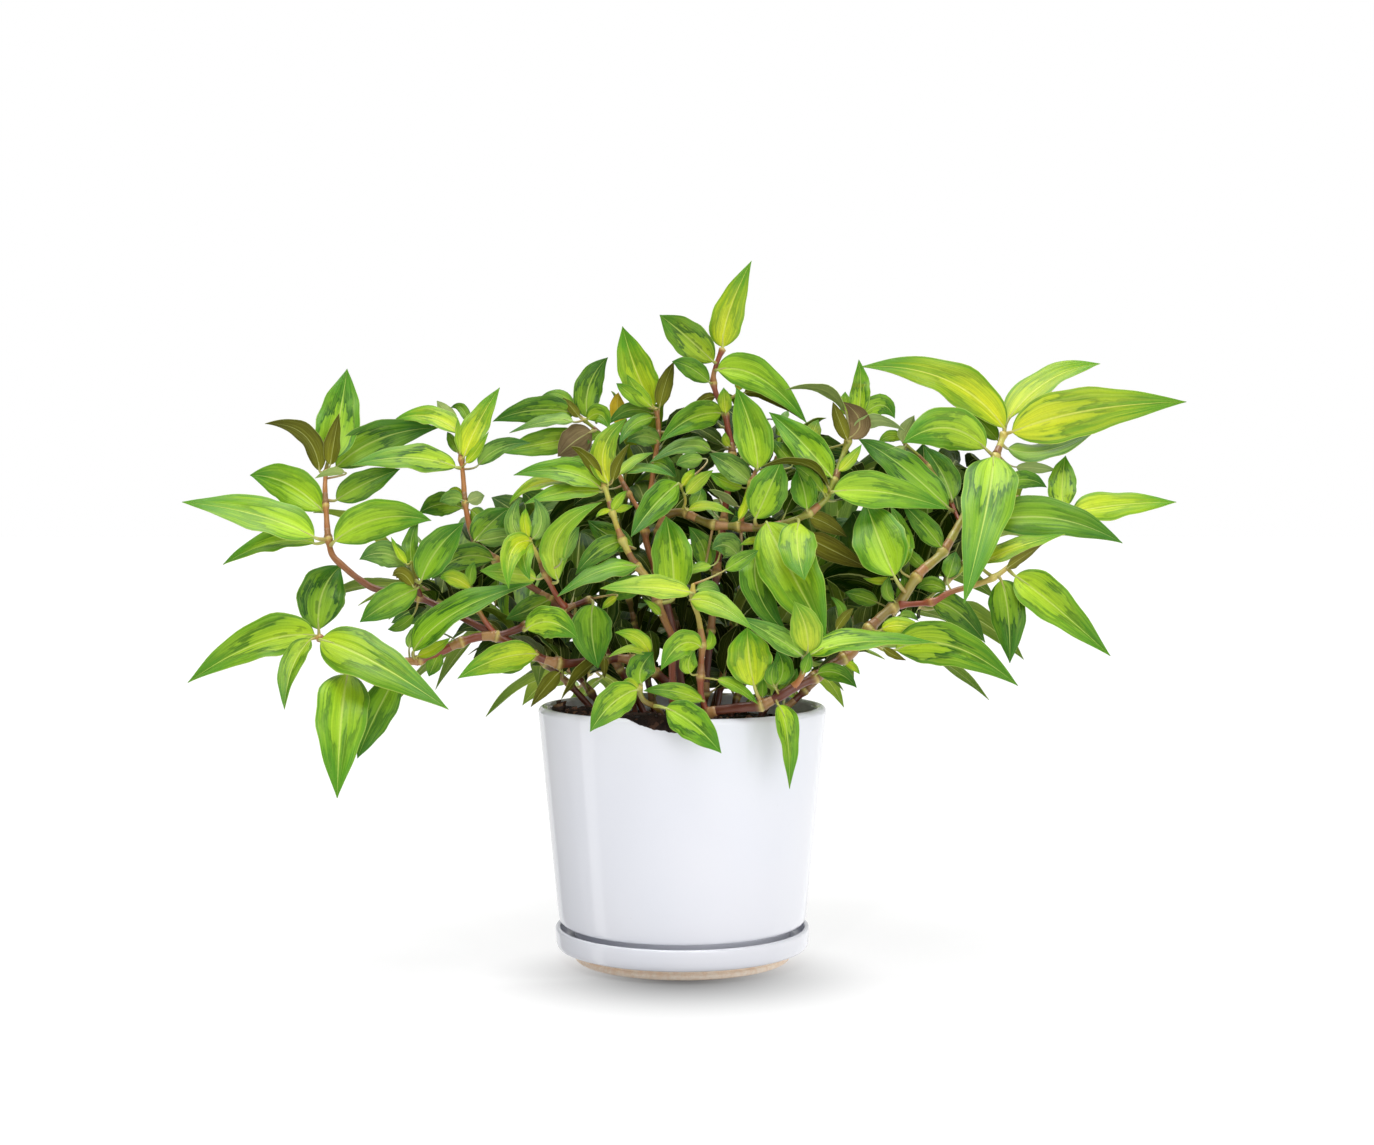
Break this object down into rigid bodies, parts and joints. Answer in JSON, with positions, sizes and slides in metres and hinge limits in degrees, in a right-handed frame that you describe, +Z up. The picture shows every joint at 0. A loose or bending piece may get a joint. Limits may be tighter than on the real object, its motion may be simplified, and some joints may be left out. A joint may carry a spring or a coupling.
{
  "type": "potted herb",
  "caption": "Leafy Vietnamese coriander with trailing jointed stems, growing in a tapered white glazed ceramic pot on a matching saucer.",
  "frame": {"origin": "middle of the saucer's flat underside, on the pot's axis", "axes": "+Z up along the pot's axis, +X to the right and -Y towards the viewer, as in the picture"},
  "size_m": [0.4888, 0.2675, 0.3433],
  "materials": {
    "pot": "glossy white glaze",
    "saucer": "glossy white glaze with an unglazed beige foot",
    "soil": "dark crumbly potting mix of bark and peat",
    "stems": "semi-gloss reddish-brown stems with pale nodes",
    "leaves": "semi-gloss green blades with dark chevrons"
  },
  "bodies": {
    "root": {"back_centre_stems": "stems", "back_left_stems": "stems", "back_right_stems": "stems", "centre_left_leaf_15": "leaves", "centre_left_stems": "stems", "crown_left_leaf_1": "leaves", "crown_left_stems": "stems", "crown_top_leaf_2": "leaves", "crown_top_leaf_4": "leaves", "crown_top_stems": "stems", "front_low_leaf_4": "leaves", "front_low_stems": "stems", "left_back_stems": "stems", "left_runner_leaf_1": "leaves", "left_runner_leaf_10": "leaves", "left_runner_leaf_11": "leaves", "left_runner_leaf_14": "leaves", "left_runner_leaf_16": "leaves", "left_runner_leaf_17": "leaves", "left_runner_leaf_3": "leaves", "left_runner_leaf_4": "leaves", "left_runner_leaf_42": "leaves", "left_runner_leaf_5": "leaves", "left_runner_leaf_6": "leaves", "left_runner_leaf_7": "leaves", "left_runner_stems": "stems", "left_side_stems": "stems", "mid_right_leaf_13": "leaves", "mid_right_leaf_15": "leaves", "mid_right_leaf_23": "leaves", "mid_right_leaf_34": "leaves", "mid_right_leaf_35": "leaves", "mid_right_stems": "stems", "pot": "pot", "right_back_stems": "stems", "right_runner_leaf_1": "leaves", "right_runner_leaf_27": "leaves", "right_runner_leaf_29": "leaves", "right_runner_leaf_37": "leaves", "right_runner_leaf_39": "leaves", "right_runner_leaf_41": "leaves", "right_runner_leaf_43": "leaves", "right_runner_leaf_49": "leaves", "right_runner_leaf_55": "leaves", "right_runner_leaf_56": "leaves", "right_runner_stems": "stems", "right_side_stems": "stems", "saucer": "saucer", "soil": "soil", "tall_left_stems": "stems", "tall_middle_stems": "stems", "tall_right_stems": "stems", "trailing_left_stems": "stems", "trailing_right_stems": "stems"}
  },
  "joints": []
}
